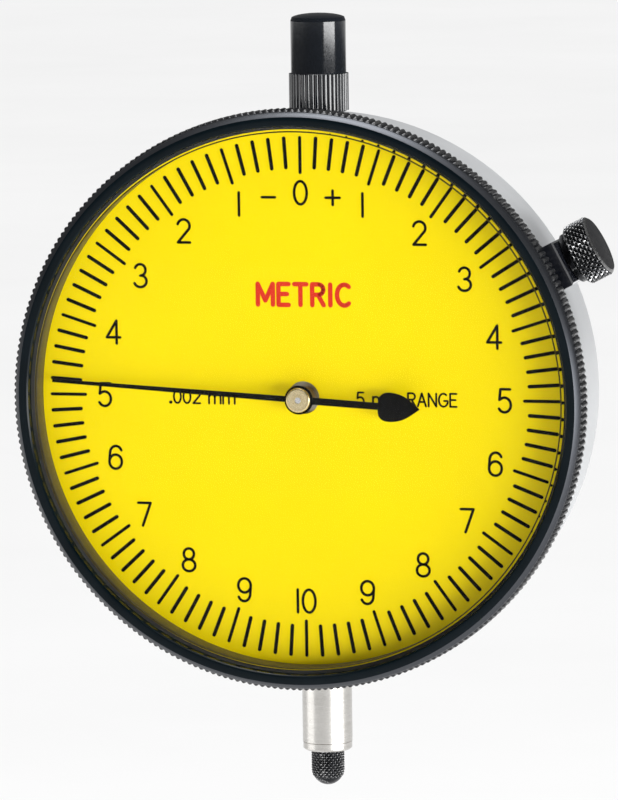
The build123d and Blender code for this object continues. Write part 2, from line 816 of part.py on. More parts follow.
# ---------------------------------------------------------------- hand
tail_root = tail_overlap - tail_start
with BuildPart() as hand:
    with BuildSketch(facing(hand_rear_y, hand_angle)):
        with BuildLine():
            Polyline(
                (0, -hand_root_width / 2),
                (hand_tip_radius, -hand_tip_width / 2),
                (hand_tip_radius, hand_tip_width / 2),
                (0, hand_root_width / 2),
                close=True,
            )
        make_face()
        with BuildLine():
            Polyline(
                (0, tail_neck_width / 2),
                (-tail_start, tail_neck_width / 2),
                (-tail_start, -tail_neck_width / 2),
                (0, -tail_neck_width / 2),
                close=True,
            )
        make_face()
        with BuildLine():
            Spline(
                (tail_root, tail_neck_width / 2),
                (-tail_widest, tail_width / 2),
                (-tail_end, 0),
                tangents=((0, 1), (-1, -tail_point_slope)),
            )
            Spline(
                (-tail_end, 0),
                (-tail_widest, -tail_width / 2),
                (tail_root, -tail_neck_width / 2),
                tangents=((1, -tail_point_slope), (0, 1)),
            )
            Line((tail_root, -tail_neck_width / 2), (tail_root, tail_neck_width / 2))
        make_face()
        Circle(hub_radius)
        Circle(hub_bore_radius, mode=Mode.SUBTRACT)
    extrude(amount=hand_thickness)
save(hand, "hand")

with BuildPart() as hand_collar:
    with BuildSketch(facing(hand_rear_y + hub_collar_length)):
        Circle(hub_collar_radius)
        Circle(hub_bore_radius, mode=Mode.SUBTRACT)
    extrude(amount=hub_collar_length)
save(hand_collar, "hand_collar")

with BuildPart() as hub_button:
    with BuildSketch(facing(hand_rear_y - hand_thickness)):
        Circle(hub_button_radius)
        Circle(hub_bore_radius, mode=Mode.SUBTRACT)
    extrude(amount=hand_rear_y - hand_thickness - hub_button_front_y)
    front_rims = hub_button.edges().filter_by(GeomType.CIRCLE).group_by(Axis.Y)[0]
    fillet(front_rims.sort_by(SortBy.RADIUS)[-1], hub_button_round)
save(hub_button, "hub_button")

# ---------------------------------------------------------------- bezel, crystal and dial
def knurl_outline(teeth, tip_radius, root_radius):
    """Corner points of straight V teeth with narrow flats at tip and root."""
    pitch = 2 * pi / teeth
    points = []
    for tooth in range(teeth):
        middle = tooth * pitch
        points.append(polar(root_radius, middle - knurl_root_half * pitch))
        points.append(polar(tip_radius, middle - knurl_tip_half * pitch))
        points.append(polar(tip_radius, middle + knurl_tip_half * pitch))
        points.append(polar(root_radius, middle + knurl_root_half * pitch))
    return points


crystal_rear_y = crystal_front_y + crystal_thickness
ledge_y = crystal_rear_y + gasket_thickness
dial_rear_y = dial_front_y + dial_thickness
with BuildPart() as bezel_ring:
    with BuildSketch(section):
        with BuildLine():
            Polyline(
                (bezel_mouth_radius, bezel_front_y),
                (bezel_face_radius, bezel_front_y),
                (bezel_root_radius, bezel_knurl_front_y - knurl_front_chamfer),
                (bezel_root_radius, bezel_knurl_rear_y + knurl_rear_chamfer),
                (bezel_skirt_radius, bezel_knurl_rear_y + knurl_rear_chamfer),
                (bezel_skirt_radius, bezel_skirt_rear_y),
                (skirt_bore_radius, bezel_skirt_rear_y),
                (skirt_bore_radius, groove_rear_y + part_gap / 2),
                (skirt_bore_radius + groove_depth, groove_rear_y + part_gap / 2),
                (skirt_bore_radius + groove_depth, groove_front_y - part_gap / 2),
                (skirt_bore_radius, groove_front_y - part_gap / 2),
                (skirt_bore_radius, dial_front_y),
                (bezel_wall_radius, dial_front_y),
                (bezel_wall_radius, ledge_y),
                (crystal_radius, ledge_y),
                (crystal_radius, bezel_front_y + bezel_edge_round),
                close=True,
            )
        make_face()
    revolve(axis=dial_axis)
    teeth_outline = knurl_outline(bezel_knurl_teeth, bezel_tip_radius, bezel_root_radius)
    with BuildSketch(facing(bezel_knurl_rear_y)):
        with BuildLine():
            Polyline(*teeth_outline, close=True)
        make_face()
        Circle(bezel_root_radius - knurl_sink, mode=Mode.SUBTRACT)
    extrude(amount=bezel_knurl_rear_y - bezel_knurl_front_y)
save(bezel_ring, "bezel_ring")

with BuildPart() as crystal:
    with BuildSketch(section):
        with BuildLine():
            Polyline(
                (0, crystal_front_y),
                (crystal_radius - crystal_bevel, crystal_front_y),
                (crystal_radius, crystal_front_y + crystal_bevel),
                (crystal_radius, crystal_rear_y),
                (0, crystal_rear_y),
                close=True,
            )
        make_face()
    revolve(axis=dial_axis)
save(crystal, "crystal")

with BuildPart() as crystal_gasket:
    with BuildSketch(facing(ledge_y)):
        Circle(crystal_radius)
        Circle(bezel_wall_radius + gasket_clearance, mode=Mode.SUBTRACT)
    extrude(amount=gasket_thickness)
save(crystal_gasket, "crystal_gasket")

with BuildPart() as dial_face:
    with BuildSketch(facing(dial_rear_y)):
        Circle(dial_radius)
        Circle(dial_hole_radius, mode=Mode.SUBTRACT)
    extrude(amount=dial_thickness)
save(dial_face, "dial_face")

with BuildPart() as dial_ring:
    with BuildSketch(facing(dial_rear_y + dial_ring_thickness)):
        Circle(dial_radius)
        Circle(dial_radius - dial_ring_width, mode=Mode.SUBTRACT)
    extrude(amount=dial_ring_thickness)
save(dial_ring, "dial_ring")

with BuildPart() as bezel_spring:
    with BuildSketch(facing(groove_rear_y - part_gap / 2)):
        Circle(skirt_bore_radius + groove_depth - retainer_clearance)
        Circle(register_radius - groove_depth + part_gap, mode=Mode.SUBTRACT)
        with Locations((0, -register_radius)):
            Rectangle(retainer_gap, retainer_gap / 2, mode=Mode.SUBTRACT)
    extrude(amount=groove_rear_y - groove_front_y - part_gap)
save(bezel_spring, "bezel_spring")

# ---------------------------------------------------------------- bezel clamp
clamp_front, clamp_rear = clamp_front_y - clamp_y, clamp_rear_y - clamp_y
skirt_end = bezel_skirt_rear_y + retainer_clearance - clamp_y
over_case = case_radius + clamp_skirt_gap
over_skirt = bezel_skirt_radius + clamp_skirt_gap
with BuildPart() as clamp_block:
    with BuildSketch(clamp_plane(over_case)):
        with Locations(((clamp_front + clamp_rear) / 2, 0)):
            Rectangle(clamp_rear - clamp_front, clamp_width)
    extrude(amount=clamp_outer_radius - over_case)
    outer_face = clamp_block.faces().sort_by(Axis((0, 0, 0), (cos(clamp_angle), 0, sin(clamp_angle))))[-1]
    chamfer(outer_face.edges(), clamp_edge_chamfer)
    with BuildSketch(clamp_plane(over_case)):
        with Locations(((clamp_front + skirt_end) / 2, 0)):
            Rectangle(skirt_end - clamp_front, clamp_width)
    extrude(amount=over_skirt - over_case, mode=Mode.SUBTRACT)
    with BuildSketch(clamp_plane(over_case)):
        Circle(clamp_screw_radius + running)
    extrude(amount=clamp_outer_radius - over_case, mode=Mode.SUBTRACT)
save(clamp_block, "clamp_block")

with BuildPart() as clamp_screw:
    with BuildSketch(clamp_plane(clamp_screw_inner)):
        Circle(clamp_screw_radius)
    extrude(amount=clamp_knob_start - clamp_screw_inner)
    with BuildSketch(clamp_plane(clamp_outer_radius + clamp_collar_gap)):
        Circle(clamp_collar_radius)
    extrude(amount=clamp_knob_start - clamp_outer_radius - clamp_collar_gap)
    with BuildSketch(clamp_plane(clamp_knob_start)):
        Circle(clamp_knob_radius)
    extrude(amount=clamp_knob_end - clamp_knob_start)
    knob_rims = clamp_screw.edges().filter_by(GeomType.CIRCLE).filter_by(
        lambda e: abs(e.radius - clamp_knob_radius) < radius_match
    )
    chamfer(knob_rims, clamp_knob_chamfer)
save(clamp_screw, "clamp_screw")

# ---------------------------------------------------------------- spindle and what rides on it
rack_cut_plane = rack_plane_x + rack_dedendum
rack_middle_z = dial_centre_z - rack_arbor_drop
with BuildPart() as spindle:
    with BuildSketch(Plane.XY.offset(contact_top_z)):
        Circle(spindle_radius)
    extrude(amount=spindle_top_z - contact_top_z)
    chamfer(spindle.edges().filter_by(GeomType.CIRCLE).group_by(Axis.Z)[-1], spindle_chamfer)
    # flat for the rack, then its tooth spaces, one tooth level with the pinion
    with BuildSketch(spindle_section.offset(-1.5 * spindle_radius)):
        with Locations((rack_cut_plane + 1, rack_middle_z)):
            Rectangle(2, rack_pitch * rack_teeth)
    extrude(amount=3 * spindle_radius, mode=Mode.SUBTRACT)
    with BuildSketch(spindle_section.offset(-1.5 * spindle_radius)):
        with Locations(*[
            (rack_cut_plane - rack_depth / 2, rack_middle_z + rack_pitch * (i + 0.5))
            for i in range(-rack_teeth // 2 + 1, rack_teeth // 2 - 1)
        ]):
            Trapezoid(
                rack_pitch / 2 + tooth_backlash + 2 * rack_dedendum * tan(pressure_angle),
                rack_depth,
                90 - degrees(pressure_angle),
                rotation=90,
            )
    extrude(amount=3 * spindle_radius, mode=Mode.SUBTRACT)
    # threaded socket for the contact point
    with BuildSketch(Plane.XY.offset(contact_top_z)):
        Circle(contact_stud_radius)
    extrude(amount=contact_stud_length + contact_socket_spare, mode=Mode.SUBTRACT)
save(spindle, "spindle")

ball_start = (contact_radius, contact_tip_z + contact_radius)
with BuildPart() as contact_point:
    with BuildSketch(spindle_section):
        with BuildLine():
            Line((0, contact_tip_z), (0, contact_top_z + contact_stud_length))
            Polyline(
                (0, contact_top_z + contact_stud_length),
                (contact_stud_radius, contact_top_z + contact_stud_length),
                (contact_stud_radius, contact_top_z),
                (contact_radius, contact_top_z),
                ball_start,
            )
            RadiusArc(ball_start, (0, contact_tip_z), contact_radius)
        make_face()
    revolve(axis=Axis.Z)
save(contact_point, "contact_point")

with BuildPart() as stop_collar:
    with BuildSketch(Plane.XY.offset(collar_bottom_z)):
        Circle(collar_radius)
        Circle(spindle_radius, mode=Mode.SUBTRACT)
    extrude(amount=collar_height)
save(stop_collar, "stop_collar")

with BuildPart() as guide_arm:
    with BuildSketch(Plane.XY.offset(guide_z)):
        with Locations((-guide_reach / 2, 0)):
            Rectangle(guide_reach, guide_width)
        Circle(guide_ring_radius)
        with Locations((-guide_reach, 0)):
            Circle(guide_eye_radius)
        Circle(spindle_radius, mode=Mode.SUBTRACT)
        with Locations((-guide_reach, 0)):
            Circle(guide_pin_radius, mode=Mode.SUBTRACT)
    extrude(amount=guide_height)
save(guide_arm, "guide_arm")

with BuildPart() as guide_pin:
    with BuildSketch(Plane.XY.offset(guide_z - guide_pin_overhang)):
        with Locations((-guide_reach, 0)):
            Circle(guide_pin_radius)
    extrude(amount=guide_height + 2 * guide_pin_overhang)
save(guide_pin, "guide_pin")

with BuildPart() as guide_fork:
    # fork with a slot that the guide pin slides in, so that the spindle can't turn
    with BuildSketch(Plane.XY.offset(guide_z - fork_drop)):
        with Locations((-guide_reach, (main_plate_rear_y + fork_rear_y) / 2)):
            Rectangle(fork_width, fork_rear_y - main_plate_rear_y)
        with Locations((-guide_reach, fork_rear_y - 1)):
            Rectangle(2 * (guide_pin_radius + running), fork_slot_length, mode=Mode.SUBTRACT)
        with Locations((-guide_reach, 0)):
            Circle(guide_pin_radius + running, mode=Mode.SUBTRACT)
    extrude(amount=fork_depth)
save(guide_fork, "guide_fork")

with BuildPart() as spring_lug:
    # lug clamped on the spindle, with the upper hook post of the return spring
    with BuildSketch(Plane.XY.offset(spring_pin_z)):
        with Locations((spring_x / 2, 0)):
            Rectangle(-spring_x, lug_width)
        Circle(lug_ring_radius)
        with Locations((spring_x, 0)):
            Circle(hook_radius)
        Circle(spindle_radius, mode=Mode.SUBTRACT)
    extrude(amount=hook_height)
save(spring_lug, "spring_lug")

with BuildPart() as spring_post:
    with BuildSketch(Plane.XY.offset(spring_post_z)):
        with Locations((spring_x, 0)):
            Circle(hook_radius)
        with Locations((spring_x, main_plate_rear_y / 2)):
            Rectangle(lug_width, -main_plate_rear_y)
    extrude(amount=hook_height)
save(spring_post, "spring_post")

spring_low_z = spring_post_z + hook_height + wire_radius + coil_end_gap
spring_high_z = spring_pin_z - wire_radius - coil_end_gap
with BuildPart() as return_spring:
    with BuildLine():
        Helix(
            pitch=coil_pitch,
            height=spring_high_z - spring_low_z,
            radius=coil_radius,
            center=(spring_x, 0, spring_low_z),
        )
    coil_start = (spring_x + coil_radius, 0, spring_low_z)
    with BuildSketch(Plane(origin=coil_start, z_dir=(0, 1, coil_pitch / (2 * pi * coil_radius)))):
        Circle(wire_radius)
    sweep(is_frenet=True)
save(return_spring, "return_spring")

# ---------------------------------------------------------------- dust cap
cap_dome_radius = cap_radius - cap_edge_round
cap_dome_rise = cap_top_z - cap_shoulder_z - cap_edge_round
cap_dome_sphere = (cap_dome_radius**2 + cap_dome_rise**2) / (2 * cap_dome_rise)
cap_dome_dip = cap_dome_sphere - sqrt(cap_dome_sphere**2 - (cap_dome_radius / 2) ** 2)
cap_edge_middle = (
    cap_dome_radius + cap_edge_round * sqrt(0.5),
    cap_shoulder_z + cap_edge_round * sqrt(0.5),
)
with BuildPart() as dust_cap:
    with BuildSketch(Plane.XY.offset(cap_bottom_z)):
        with BuildLine():
            Polyline(
                *knurl_outline(cap_flutes, cap_knurl_radius, cap_knurl_radius - cap_knurl_depth),
                close=True,
            )
        make_face()
    extrude(amount=cap_knurl_top_z - cap_bottom_z)
    with BuildSketch(spindle_section):
        with BuildLine():
            Polyline(
                (0, cap_bottom_z),
                (cap_radius, cap_bottom_z),
                (cap_radius, cap_shoulder_z),
            )
            ThreePointArc(
                (cap_radius, cap_shoulder_z),
                cap_edge_middle,
                (cap_dome_radius, cap_shoulder_z + cap_edge_round),
            )
            ThreePointArc(
                (cap_dome_radius, cap_shoulder_z + cap_edge_round),
                (cap_dome_radius / 2, cap_top_z - cap_dome_dip),
                (0, cap_top_z),
            )
            Line((0, cap_top_z), (0, cap_bottom_z))
        make_face()
    revolve(axis=Axis.Z)
    with BuildSketch(Plane.XY.offset(cap_bottom_z)):
        Circle(cap_bore_radius)
    extrude(amount=cap_bore_top_z - cap_bottom_z, mode=Mode.SUBTRACT)
save(dust_cap, "dust_cap")
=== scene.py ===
"""Looks of the dial indicator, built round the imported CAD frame. Metres, +Z up, the dial faces -Y."""

import json
import math

import bpy
from mathutils import Matrix, Vector


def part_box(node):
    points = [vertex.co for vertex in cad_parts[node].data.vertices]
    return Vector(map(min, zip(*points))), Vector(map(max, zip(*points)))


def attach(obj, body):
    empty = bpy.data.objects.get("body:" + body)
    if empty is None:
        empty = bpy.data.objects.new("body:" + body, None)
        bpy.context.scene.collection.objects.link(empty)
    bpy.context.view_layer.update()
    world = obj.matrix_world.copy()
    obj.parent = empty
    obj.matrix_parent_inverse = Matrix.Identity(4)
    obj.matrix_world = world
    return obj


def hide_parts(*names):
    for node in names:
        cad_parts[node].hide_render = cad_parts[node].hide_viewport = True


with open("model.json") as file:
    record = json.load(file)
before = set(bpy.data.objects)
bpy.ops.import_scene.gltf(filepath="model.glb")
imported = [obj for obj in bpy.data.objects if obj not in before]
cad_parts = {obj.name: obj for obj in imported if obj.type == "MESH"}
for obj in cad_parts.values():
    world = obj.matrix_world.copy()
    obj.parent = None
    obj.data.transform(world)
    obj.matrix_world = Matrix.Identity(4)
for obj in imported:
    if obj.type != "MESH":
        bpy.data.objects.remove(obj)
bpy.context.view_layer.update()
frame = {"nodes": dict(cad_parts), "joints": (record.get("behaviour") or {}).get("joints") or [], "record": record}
nodes = frame["nodes"]

MM = 0.001
TAU = 2 * math.pi

# ---------------------------------------------------------------- places read from the frame
dial_low, dial_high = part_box("dial_face")
bezel_low, bezel_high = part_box("bezel_ring")
cap_low, cap_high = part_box("dust_cap")
contact_low, contact_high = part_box("contact_point")
crystal_low, crystal_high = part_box("crystal")
centre = Vector((0, dial_low.y, (dial_low.z + dial_high.z) / 2))


# ---------------------------------------------------------------- mesh helpers
ON_AXIS = 1e-9               # a profile point this close to the axis is one shared vertex
ROUNDING_SHARE = 0.35        # a rounded corner takes at most this share of a side
SURFACE_SLACK = 1e-7         # keeps points that lie just on a surface on its outer side


def new_object(name, vertices, faces, materials, face_materials=None, crease=35):
    mesh = bpy.data.meshes.new(name)
    mesh.from_pydata([tuple(v) for v in vertices], [], faces)
    for material in materials:
        mesh.materials.append(material)
    if face_materials:
        mesh.polygons.foreach_set("material_index", face_materials)
    mesh.polygons.foreach_set("use_smooth", [True] * len(mesh.polygons))
    mesh.set_sharp_from_angle(angle=math.radians(crease))
    mesh.validate()
    obj = bpy.data.objects.new(name, mesh)
    bpy.context.scene.collection.objects.link(obj)
    return obj


def soften(profile, size):
    """The closed profile with each corner rounded over the given length, kept off short sides."""
    rounded = []
    count = len(profile)
    for i, (radius, height, kind) in enumerate(profile):
        point = Vector((radius, height))
        before = Vector(profile[i - 1][:2]) - point
        after = Vector(profile[(i + 1) % count][:2]) - point
        reach_before = min(size, before.length * ROUNDING_SHARE)
        reach_after = min(size, after.length * ROUNDING_SHARE)
        start = point + before.normalized() * reach_before
        end = point + after.normalized() * reach_after
        middle = point * 0.5 + start * 0.25 + end * 0.25
        previous_kind = profile[i - 1][2]
        rounded += [(*start, previous_kind), (*middle, kind), (*end, kind)]
    return rounded


def lathe(name, profile, place, segments, materials, relief=None, crease=35):
    """Revolves a closed profile of (radius, height, material) points about place's Z axis.

    relief(angle, radius, height) gives the radius to add, for knurls and flutes."""
    vertices, rings = [], []
    for radius, height, _ in profile:
        if radius < ON_AXIS:
            rings.append([len(vertices)] * segments)
            vertices.append(place @ Vector((0, 0, height)))
            continue
        ring = []
        for s in range(segments):
            angle = TAU * s / segments
            r = radius + (relief(angle, radius, height) if relief else 0)
            ring.append(len(vertices))
            vertices.append(place @ Vector((r * math.cos(angle), r * math.sin(angle), height)))
        rings.append(ring)
    faces, kinds = [], []
    for i in range(len(rings)):
        low, high = rings[i], rings[(i + 1) % len(rings)]
        if low[0] == low[1] and high[0] == high[1]:
            continue
        for s in range(segments):
            t = (s + 1) % segments
            corners = [low[s], low[t], high[t], high[s]]
            face = [v for k, v in enumerate(corners) if v != corners[k - 1]]
            faces.append(face)
            kinds.append(profile[i][2])
    obj = new_object(name, vertices, faces, materials, kinds, crease)
    fix_winding(obj)
    return obj


def fix_winding(obj):
    """Turns the faces of a closed mesh outward."""
    volume = 0.0
    mesh = obj.data
    points = [v.co for v in mesh.vertices]
    for polygon in mesh.polygons:
        first = points[polygon.vertices[0]]
        for k in range(1, len(polygon.vertices) - 1):
            second, third = points[polygon.vertices[k]], points[polygon.vertices[k + 1]]
            volume += first.dot(second.cross(third))
    if volume < 0:
        mesh.flip_normals()


def facing_place(origin):
    """Local Z points to the front (-Y), local X to +X, local Y to +Z."""
    return Matrix.Translation(origin) @ Matrix(((1, 0, 0, 0), (0, 0, -1, 0), (0, 1, 0, 0), (0, 0, 0, 1)))


def wave(x):
    """Triangle wave: 1 at whole numbers, 0 half way between."""
    return abs(2 * (x % 1.0) - 1)


# ---------------------------------------------------------------- material helpers
AROUND_SHARE = 0.0002        # metres of pattern per radian round a turned part
BUMP_DISTANCE = 0.00002
FINE_DETAIL = 3.0
WEAR_AND_GLINT_STARTS, WEAR_AND_GLINT_FULL = 0.515, 0.56      # edge sharpness, 0.5 on a flat surface


def shader(name):
    material = bpy.data.materials.new(name)
    material.use_nodes = True
    tree = material.node_tree
    return material, tree, tree.nodes["Principled BSDF"]


def add(tree, kind, **settings):
    node = tree.nodes.new(kind)
    for key, value in settings.items():
        setattr(node, key, value)
    return node


def math_node(tree, operation, *values):
    node = add(tree, "ShaderNodeMath", operation=operation)
    for socket, value in zip(node.inputs, values):
        if isinstance(value, (int, float)):
            socket.default_value = value
        else:
            tree.links.new(value, socket)
    return node.outputs[0]


def object_point(tree):
    return add(tree, "ShaderNodeTexCoord").outputs["Object"]


def turned_point(tree, axis):
    """Coordinates on a turned part: its radius and height count fully, the way round hardly."""
    split = add(tree, "ShaderNodeSeparateXYZ")
    tree.links.new(object_point(tree), split.inputs[0])
    x, y, z = split.outputs
    if axis == "Y":
        across = math_node(tree, "SUBTRACT", z, centre.z)
        height = y
    else:
        across, height = y, z
    radius = math_node(tree, "SQRT", math_node(
        tree, "ADD", math_node(tree, "MULTIPLY", x, x), math_node(tree, "MULTIPLY", across, across)))
    angle = math_node(tree, "MULTIPLY", math_node(tree, "ARCTAN2", across, x), AROUND_SHARE)
    join = add(tree, "ShaderNodeCombineXYZ")
    for value, socket in zip((radius, height, angle), join.inputs):
        tree.links.new(value, socket)
    return join.outputs[0]


def noise(tree, point, scale, detail=4.0, roughness=0.6):
    node = add(tree, "ShaderNodeTexNoise")
    node.inputs["Scale"].default_value = scale
    node.inputs["Detail"].default_value = detail
    node.inputs["Roughness"].default_value = roughness
    tree.links.new(point, node.inputs["Vector"])
    return node.outputs["Fac"]


def ramp(tree, factor, low, high, start=0.3, end=0.7):
    """Colour ramp from low to high, which are both RGB or single values."""
    node = add(tree, "ShaderNodeValToRGB")
    node.color_ramp.elements[0].position = start
    node.color_ramp.elements[1].position = end
    for element, value in zip(node.color_ramp.elements, (low, high)):
        red_green_blue = value if isinstance(value, tuple) else (value, value, value)
        element.color = (*red_green_blue, 1)
    tree.links.new(factor, node.inputs[0])
    return node.outputs[0]


def bump(tree, shader_node, height, strength, distance):
    node = add(tree, "ShaderNodeBump")
    node.inputs["Strength"].default_value = strength
    node.inputs["Distance"].default_value = distance
    tree.links.new(height, node.inputs["Height"])
    tree.links.new(node.outputs[0], shader_node.inputs["Normal"])


def finish_material(name, low, high, rough, metallic=0.0, scale=400.0, grain=2500.0,
                    bump_strength=0.05, turned=None, specular=0.5, wear_and_glint=None):
    """A finish whose colour, roughness and surface vary at two scales.

    turned names the axis of a lathe-turned part, whose marks then run round it.
    wear_and_glint is the colour put on sharp edges: partly rubbed metal, partly a painted highlight standing in
    for glints."""
    material, tree, bsdf = shader(name)
    point = turned_point(tree, turned) if turned else object_point(tree)
    broad = noise(tree, point, scale)
    fine = noise(tree, point, grain, FINE_DETAIL)
    colour = ramp(tree, broad, low, high)
    # Painted highlight: sharp edges turn lighter, partly as rubbed metal and partly standing in for glints.
    if wear_and_glint:
        edge = add(tree, "ShaderNodeNewGeometry").outputs["Pointiness"]
        edge_colour_mask = ramp(tree, edge, 0.0, 1.0, WEAR_AND_GLINT_STARTS, WEAR_AND_GLINT_FULL)
        mix = add(tree, "ShaderNodeMix", data_type="RGBA")
        tree.links.new(edge_colour_mask, mix.inputs["Factor"])
        tree.links.new(colour, mix.inputs["A"])
        mix.inputs["B"].default_value = (*wear_and_glint, 1)
        colour = mix.outputs["Result"]
    tree.links.new(colour, bsdf.inputs["Base Color"])
    tree.links.new(ramp(tree, fine, rough[0], rough[1]), bsdf.inputs["Roughness"])
    bsdf.inputs["Metallic"].default_value = metallic
    bsdf.inputs["Specular IOR Level"].default_value = specular
    bump(tree, bsdf, fine, bump_strength, BUMP_DISTANCE)
    return material


# ---------------------------------------------------------------- materials
gloss_black = finish_material("bezel_gloss_black", (0.001, 0.004, 0.006), (0.003, 0.007, 0.010),
                              (0.14, 0.22), scale=120, bump_strength=0.04, specular=0.12)
satin_black = finish_material("bezel_turned_satin", (0.040, 0.043, 0.050), (0.070, 0.074, 0.082),
                              (0.34, 0.44), metallic=0.85, turned="Y", grain=9000, bump_strength=0.15)
wall_grey = finish_material("bezel_wall_satin_grey", (0.070, 0.062, 0.045), (0.100, 0.090, 0.068),
                            (0.35, 0.45), metallic=0.6, turned="Y", grain=6000, bump_strength=0.1)
# Lobe edges lightened: a painted highlight for the knurl's glints, partly rubbed metal.
knurl_black = finish_material("bezel_knurl_black", (0.010, 0.011, 0.013), (0.022, 0.023, 0.026),
                              (0.22, 0.34), metallic=0.3, specular=0.3, wear_and_glint=(0.06, 0.06, 0.06))
case_silver = finish_material("case_satin_silver", (0.50, 0.51, 0.52), (0.55, 0.56, 0.57),
                              (0.36, 0.46), metallic=0.25, scale=90, grain=6000, bump_strength=0.12)
stem_steel = finish_material("stem_turned_steel", (0.50, 0.485, 0.46), (0.58, 0.565, 0.54),
                             (0.20, 0.30), metallic=1.0, turned="Z", scale=900, grain=9000,
                             bump_strength=0.12)
# Diamond edges lightened: a painted highlight for the knurl's glints, partly rubbed metal.
black_oxide = finish_material("knurled_black_oxide", (0.012, 0.013, 0.015), (0.028, 0.029, 0.032),
                              (0.20, 0.30), metallic=0.9, wear_and_glint=(0.26, 0.26, 0.26))
clamp_black = finish_material("clamp_gloss_black", (0.005, 0.006, 0.009), (0.012, 0.013, 0.017),
                              (0.12, 0.20), bump_strength=0.04, specular=0.25)
end_grey = finish_material("knob_end_matte_grey", (0.012, 0.012, 0.013), (0.020, 0.020, 0.021),
                           (0.55, 0.70), scale=700, bump_strength=0.2, specular=0.25)
cap_black = finish_material("cap_gloss_black", (0.004, 0.006, 0.009), (0.008, 0.010, 0.014),
                            (0.10, 0.16), scale=150, bump_strength=0.03, specular=0.6)
hand_black = finish_material("hand_matte_black", (0.004, 0.004, 0.004), (0.009, 0.009, 0.009),
                             (0.45, 0.60), specular=0.03)
brass = finish_material("turned_brass", (0.62, 0.50, 0.28), (0.74, 0.62, 0.38), (0.22, 0.34),
                        metallic=1.0, turned="Y", scale=1500, grain=12000, bump_strength=0.2)
ink_black = finish_material("dial_ink_black", (0.004, 0.004, 0.004), (0.010, 0.010, 0.010),
                            (0.40, 0.55), scale=1500, specular=0.04)
ink_red = finish_material("dial_ink_red", (0.66, 0.034, 0.014), (0.76, 0.045, 0.020),
                          (0.40, 0.55), scale=1500, specular=0.1)
dial_yellow = finish_material("dial_yellow_lacquer", (0.96, 0.745, 0.0), (1.0, 0.775, 0.0),
                              (0.38, 0.46), scale=60, grain=5000, bump_strength=0.03, specular=0.12)
nickel = finish_material("movement_nickel", (0.55, 0.53, 0.47), (0.66, 0.64, 0.58), (0.30, 0.42),
                         metallic=1.0, scale=800, bump_strength=0.1)
polished_steel = finish_material("polished_screw_steel", (0.55, 0.55, 0.55), (0.66, 0.66, 0.66),
                                 (0.15, 0.25), metallic=1.0, scale=1500)
movement_brass = finish_material("movement_brass", (0.66, 0.50, 0.24), (0.76, 0.60, 0.30),
                                 (0.25, 0.36), metallic=1.0, scale=900, bump_strength=0.1)
blued_steel = finish_material("blued_spring_steel", (0.08, 0.10, 0.22), (0.14, 0.16, 0.30),
                              (0.22, 0.32), metallic=1.0, scale=1500)
ruby = finish_material("ruby_jewel", (0.35, 0.01, 0.03), (0.55, 0.02, 0.06), (0.06, 0.12), scale=2500)
soft_black = finish_material("gasket_soft_black", (0.012, 0.012, 0.012), (0.022, 0.022, 0.022),
                             (0.60, 0.75), scale=2500, bump_strength=0.2)


def see_through(tree, surface):
    """Lets lamps shine through the surface, so that what lies below it is lit."""
    open_shader = add(tree, "ShaderNodeBsdfTransparent")
    shadow = add(tree, "ShaderNodeMixShader")
    tree.links.new(add(tree, "ShaderNodeLightPath").outputs["Is Shadow Ray"], shadow.inputs[0])
    tree.links.new(surface, shadow.inputs[1])
    tree.links.new(open_shader.outputs[0], shadow.inputs[2])
    tree.links.new(shadow.outputs[0], tree.nodes["Material Output"].inputs["Surface"])


ACRYLIC_IOR = 1.49
HAZE_SCALE = 300
COATING_GLOSS = 0.03


def clear_crystal():
    """Clear acrylic for the lens's rim, which bends what is seen through it."""
    material, tree, bsdf = shader("clear_crystal")
    bsdf.inputs["Base Color"].default_value = (1, 1, 1, 1)
    bsdf.inputs["Transmission Weight"].default_value = 1.0
    bsdf.inputs["IOR"].default_value = ACRYLIC_IOR
    haze = noise(tree, object_point(tree), HAZE_SCALE)
    tree.links.new(ramp(tree, haze, 0.0, 0.012), bsdf.inputs["Roughness"])
    see_through(tree, bsdf.outputs[0])
    return material


def coated_crystal():
    """The lens's flat faces: clear, with only the faint gloss of a coated surface."""
    material, tree, bsdf = shader("clear_crystal_face")
    bsdf.inputs["Base Color"].default_value = (0, 0, 0, 1)
    bsdf.inputs["Specular IOR Level"].default_value = COATING_GLOSS
    haze = noise(tree, object_point(tree), HAZE_SCALE)
    tree.links.new(ramp(tree, haze, 0.02, 0.05), bsdf.inputs["Roughness"])
    clear = add(tree, "ShaderNodeBsdfTransparent")
    both = add(tree, "ShaderNodeAddShader")
    tree.links.new(bsdf.outputs[0], both.inputs[0])
    tree.links.new(clear.outputs[0], both.inputs[1])
    see_through(tree, both.outputs[0])
    return material


crystal_clear = clear_crystal()
crystal_face = coated_crystal()
# The bevel's inner edge: frosted, and coloured dark gold as painted light from the yellow dial seen through the
# bevel.
crystal_edge = finish_material("crystal_edge_frosted_painted_dial_tint", (0.05, 0.038, 0.006), (0.09, 0.07, 0.012),
                               (0.5, 0.7), scale=1500, specular=0.2)


HIGHLIGHT_METAL = (0.75, 0.76, 0.78)
HIGHLIGHT_HALF = 0.42             # half the painted highlight strip's width, as a share of the chamfer


